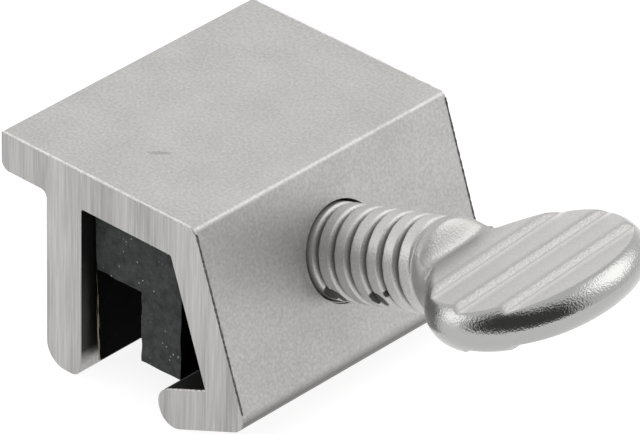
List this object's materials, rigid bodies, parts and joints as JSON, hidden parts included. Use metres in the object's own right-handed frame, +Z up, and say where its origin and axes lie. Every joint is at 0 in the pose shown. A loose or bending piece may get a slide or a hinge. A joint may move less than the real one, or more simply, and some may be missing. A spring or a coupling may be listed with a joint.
{
  "type": "sliding window lock",
  "caption": "Short aluminium extrusion that drops over the fin of a sliding window's track; a thumb screw presses its black pad on the fin, and the end face stops the sash.",
  "frame": {"origin": "middle of the closed end of the pad's slot, half way along the lock: the place that meets the top of the track's fin", "axes": "+X towards the thumb screw, +Y along the track, +Z up, out of the track"},
  "size_m": [0.0311, 0.0174, 0.0133],
  "materials": {
    "mill_aluminium": "mill finish, sawn ends",
    "black_rubber": "matte, cut ends",
    "plated_steel": "bright zinc plate"
  },
  "bodies": {
    "lock": {"lock_body": "mill_aluminium", "grip_pad": "black_rubber"},
    "screw": {"thumb_screw": "plated_steel"}
  },
  "joints": [
    {"name": "screw_turn", "type": "hinge", "parent": "lock", "child": "screw", "pos_m": [0.00726, 0, 0.00132], "axis": [0.9563, 0, 0.2924], "range_deg": [-810, 630]}
  ]
}
